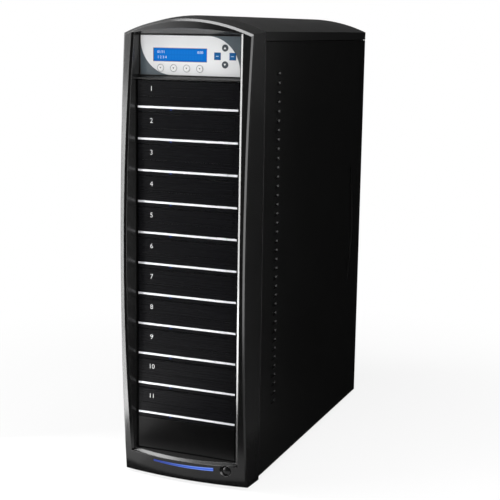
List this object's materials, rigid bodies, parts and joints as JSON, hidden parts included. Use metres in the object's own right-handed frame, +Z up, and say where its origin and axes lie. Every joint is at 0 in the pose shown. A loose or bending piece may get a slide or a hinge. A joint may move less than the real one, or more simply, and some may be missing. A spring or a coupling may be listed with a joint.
{
  "type": "disc duplicator tower",
  "caption": "Upright black tower that copies discs: a bowed front frame around a stack of tray drives, with a lit control panel under an arched brow.",
  "frame": {"origin": "on the floor under the middle of the tower", "axes": "+Z up, front towards -Y, +X to the right seen from the front"},
  "size_m": [0.19, 0.4991, 0.6335],
  "materials": {
    "bezel_plastic": "smooth black moulding, satin gloss",
    "light_blue": "clear blue light pipe",
    "panel_plastic": "light grey moulding",
    "overlay_white": "white printed film with slate corners",
    "display_blue": "lit blue display",
    "board_green": "green circuit board",
    "bare_steel": "bare zinc-coated sheet",
    "drive_black": "black moulding, fine satin grain",
    "trim_silver": "bright satin strip",
    "blank_gloss": "black polished moulding",
    "case_paint": "black satin powder coat",
    "fan_black": "black moulding",
    "foot_rubber": "black rubber",
    "screw_steel": "plated steel",
    "key_dark": "dark grey key",
    "key_blue": "blue key",
    "key_white": "white key"
  },
  "bodies": {
    "tower": {"front_bezel": "bezel_plastic", "light_bar": "light_blue", "control_panel": "panel_plastic", "control_overlay": "overlay_white", "lcd_module": "display_blue", "control_board": "board_green", "drive_housings": "bare_steel", "drive_decks": "drive_black", "drive_bezels": "drive_black", "drive_trim_strips": "trim_silver", "drive_status_lights": "light_blue", "blank_bay_cover": "blank_gloss", "drive_cage": "bare_steel", "top_cover": "case_paint", "left_side_panel": "case_paint", "right_side_panel": "case_paint", "base_pan": "case_paint", "rear_panel": "case_paint", "fan_frames": "fan_black", "power_supply": "bare_steel", "power_inlet": "fan_black", "rubber_feet": "foot_rubber", "case_screws": "screw_steel"},
    "disc_tray_01": {"disc_tray_01": "drive_black"},
    "disc_tray_02": {"disc_tray_02": "drive_black"},
    "disc_tray_03": {"disc_tray_03": "drive_black"},
    "disc_tray_04": {"disc_tray_04": "drive_black"},
    "disc_tray_05": {"disc_tray_05": "drive_black"},
    "disc_tray_06": {"disc_tray_06": "drive_black"},
    "disc_tray_07": {"disc_tray_07": "drive_black"},
    "disc_tray_08": {"disc_tray_08": "drive_black"},
    "disc_tray_09": {"disc_tray_09": "drive_black"},
    "disc_tray_10": {"disc_tray_10": "drive_black"},
    "disc_tray_11": {"disc_tray_11": "drive_black"},
    "eject_button_01": {"eject_button_01": "trim_silver"},
    "eject_button_02": {"eject_button_02": "trim_silver"},
    "eject_button_03": {"eject_button_03": "trim_silver"},
    "eject_button_04": {"eject_button_04": "trim_silver"},
    "eject_button_05": {"eject_button_05": "trim_silver"},
    "eject_button_06": {"eject_button_06": "trim_silver"},
    "eject_button_07": {"eject_button_07": "trim_silver"},
    "eject_button_08": {"eject_button_08": "trim_silver"},
    "eject_button_09": {"eject_button_09": "trim_silver"},
    "eject_button_10": {"eject_button_10": "trim_silver"},
    "eject_button_11": {"eject_button_11": "trim_silver"},
    "power_button": {"power_button": "bezel_plastic"},
    "up_button": {"up_button": "key_dark"},
    "down_button": {"down_button": "key_dark"},
    "escape_button": {"escape_button": "key_blue"},
    "enter_button": {"enter_button": "key_blue"},
    "hotkey_button_1": {"hotkey_button_1": "key_white"},
    "hotkey_button_2": {"hotkey_button_2": "key_white"},
    "hotkey_button_3": {"hotkey_button_3": "key_white"},
    "hotkey_button_4": {"hotkey_button_4": "key_white"},
    "fan_rotor_low": {"fan_rotor_low": "fan_black"},
    "fan_rotor_high": {"fan_rotor_high": "fan_black"},
    "supply_fan_rotor": {"supply_fan_rotor": "fan_black"},
    "power_switch": {"power_switch": "fan_black"}
  },
  "joints": [
    {"name": "disc_tray_01_slide", "type": "slide", "parent": "tower", "child": "disc_tray_01", "axis": [0, -1, 0], "range_m": [0, 0.14]},
    {"name": "disc_tray_02_slide", "type": "slide", "parent": "tower", "child": "disc_tray_02", "axis": [0, -1, 0], "range_m": [0, 0.14]},
    {"name": "disc_tray_03_slide", "type": "slide", "parent": "tower", "child": "disc_tray_03", "axis": [0, -1, 0], "range_m": [0, 0.14]},
    {"name": "disc_tray_04_slide", "type": "slide", "parent": "tower", "child": "disc_tray_04", "axis": [0, -1, 0], "range_m": [0, 0.14]},
    {"name": "disc_tray_05_slide", "type": "slide", "parent": "tower", "child": "disc_tray_05", "axis": [0, -1, 0], "range_m": [0, 0.14]},
    {"name": "disc_tray_06_slide", "type": "slide", "parent": "tower", "child": "disc_tray_06", "axis": [0, -1, 0], "range_m": [0, 0.14]},
    {"name": "disc_tray_07_slide", "type": "slide", "parent": "tower", "child": "disc_tray_07", "axis": [0, -1, 0], "range_m": [0, 0.14]},
    {"name": "disc_tray_08_slide", "type": "slide", "parent": "tower", "child": "disc_tray_08", "axis": [0, -1, 0], "range_m": [0, 0.14]},
    {"name": "disc_tray_09_slide", "type": "slide", "parent": "tower", "child": "disc_tray_09", "axis": [0, -1, 0], "range_m": [0, 0.14]},
    {"name": "disc_tray_10_slide", "type": "slide", "parent": "tower", "child": "disc_tray_10", "axis": [0, -1, 0], "range_m": [0, 0.14]},
    {"name": "disc_tray_11_slide", "type": "slide", "parent": "tower", "child": "disc_tray_11", "axis": [0, -1, 0], "range_m": [0, 0.14]},
    {"name": "eject_button_01_press", "type": "slide", "parent": "tower", "child": "eject_button_01", "axis": [0, 1, 0], "range_m": [0, 0.001], "stiffness_N_per_m": 600, "springref_m": -0.0005},
    {"name": "eject_button_02_press", "type": "slide", "parent": "tower", "child": "eject_button_02", "axis": [0, 1, 0], "range_m": [0, 0.001], "stiffness_N_per_m": 600, "springref_m": -0.0005},
    {"name": "eject_button_03_press", "type": "slide", "parent": "tower", "child": "eject_button_03", "axis": [0, 1, 0], "range_m": [0, 0.001], "stiffness_N_per_m": 600, "springref_m": -0.0005},
    {"name": "eject_button_04_press", "type": "slide", "parent": "tower", "child": "eject_button_04", "axis": [0, 1, 0], "range_m": [0, 0.001], "stiffness_N_per_m": 600, "springref_m": -0.0005},
    {"name": "eject_button_05_press", "type": "slide", "parent": "tower", "child": "eject_button_05", "axis": [0, 1, 0], "range_m": [0, 0.001], "stiffness_N_per_m": 600, "springref_m": -0.0005},
    {"name": "eject_button_06_press", "type": "slide", "parent": "tower", "child": "eject_button_06", "axis": [0, 1, 0], "range_m": [0, 0.001], "stiffness_N_per_m": 600, "springref_m": -0.0005},
    {"name": "eject_button_07_press", "type": "slide", "parent": "tower", "child": "eject_button_07", "axis": [0, 1, 0], "range_m": [0, 0.001], "stiffness_N_per_m": 600, "springref_m": -0.0005},
    {"name": "eject_button_08_press", "type": "slide", "parent": "tower", "child": "eject_button_08", "axis": [0, 1, 0], "range_m": [0, 0.001], "stiffness_N_per_m": 600, "springref_m": -0.0005},
    {"name": "eject_button_09_press", "type": "slide", "parent": "tower", "child": "eject_button_09", "axis": [0, 1, 0], "range_m": [0, 0.001], "stiffness_N_per_m": 600, "springref_m": -0.0005},
    {"name": "eject_button_10_press", "type": "slide", "parent": "tower", "child": "eject_button_10", "axis": [0, 1, 0], "range_m": [0, 0.001], "stiffness_N_per_m": 600, "springref_m": -0.0005},
    {"name": "eject_button_11_press", "type": "slide", "parent": "tower", "child": "eject_button_11", "axis": [0, 1, 0], "range_m": [0, 0.001], "stiffness_N_per_m": 600, "springref_m": -0.0005},
    {"name": "power_button_press", "type": "slide", "parent": "tower", "child": "power_button", "axis": [0, 1, 0], "range_m": [0, 0.002], "stiffness_N_per_m": 500, "springref_m": -0.001},
    {"name": "up_button_press", "type": "slide", "parent": "tower", "child": "up_button", "axis": [0, 1, 0], "range_m": [0, 0.0008], "stiffness_N_per_m": 600, "springref_m": -0.0004},
    {"name": "down_button_press", "type": "slide", "parent": "tower", "child": "down_button", "axis": [0, 1, 0], "range_m": [0, 0.0008], "stiffness_N_per_m": 600, "springref_m": -0.0004},
    {"name": "escape_button_press", "type": "slide", "parent": "tower", "child": "escape_button", "axis": [0, 1, 0], "range_m": [0, 0.0008], "stiffness_N_per_m": 600, "springref_m": -0.0004},
    {"name": "enter_button_press", "type": "slide", "parent": "tower", "child": "enter_button", "axis": [0, 1, 0], "range_m": [0, 0.0008], "stiffness_N_per_m": 600, "springref_m": -0.0004},
    {"name": "hotkey_button_1_press", "type": "slide", "parent": "tower", "child": "hotkey_button_1", "axis": [0, 1, 0], "range_m": [0, 0.0008], "stiffness_N_per_m": 600, "springref_m": -0.0004},
    {"name": "hotkey_button_2_press", "type": "slide", "parent": "tower", "child": "hotkey_button_2", "axis": [0, 1, 0], "range_m": [0, 0.0008], "stiffness_N_per_m": 600, "springref_m": -0.0004},
    {"name": "hotkey_button_3_press", "type": "slide", "parent": "tower", "child": "hotkey_button_3", "axis": [0, 1, 0], "range_m": [0, 0.0008], "stiffness_N_per_m": 600, "springref_m": -0.0004},
    {"name": "hotkey_button_4_press", "type": "slide", "parent": "tower", "child": "hotkey_button_4", "axis": [0, 1, 0], "range_m": [0, 0.0008], "stiffness_N_per_m": 600, "springref_m": -0.0004},
    {"name": "fan_rotor_low_spin", "type": "hinge", "parent": "tower", "child": "fan_rotor_low", "pos_m": [0, 0.234, 0.238], "axis": [0, 1, 0], "continuous": true},
    {"name": "fan_rotor_high_spin", "type": "hinge", "parent": "tower", "child": "fan_rotor_high", "pos_m": [0, 0.234, 0.438], "axis": [0, 1, 0], "continuous": true},
    {"name": "supply_fan_rotor_spin", "type": "hinge", "parent": "tower", "child": "supply_fan_rotor", "pos_m": [-0.028, 0.233, 0.052], "axis": [0, 1, 0], "continuous": true},
    {"name": "power_switch_rock", "type": "hinge", "parent": "tower", "child": "power_switch", "pos_m": [0.042, 0.246, 0.071], "axis": [1, 0, 0], "range_deg": [0, 16]}
  ]
}
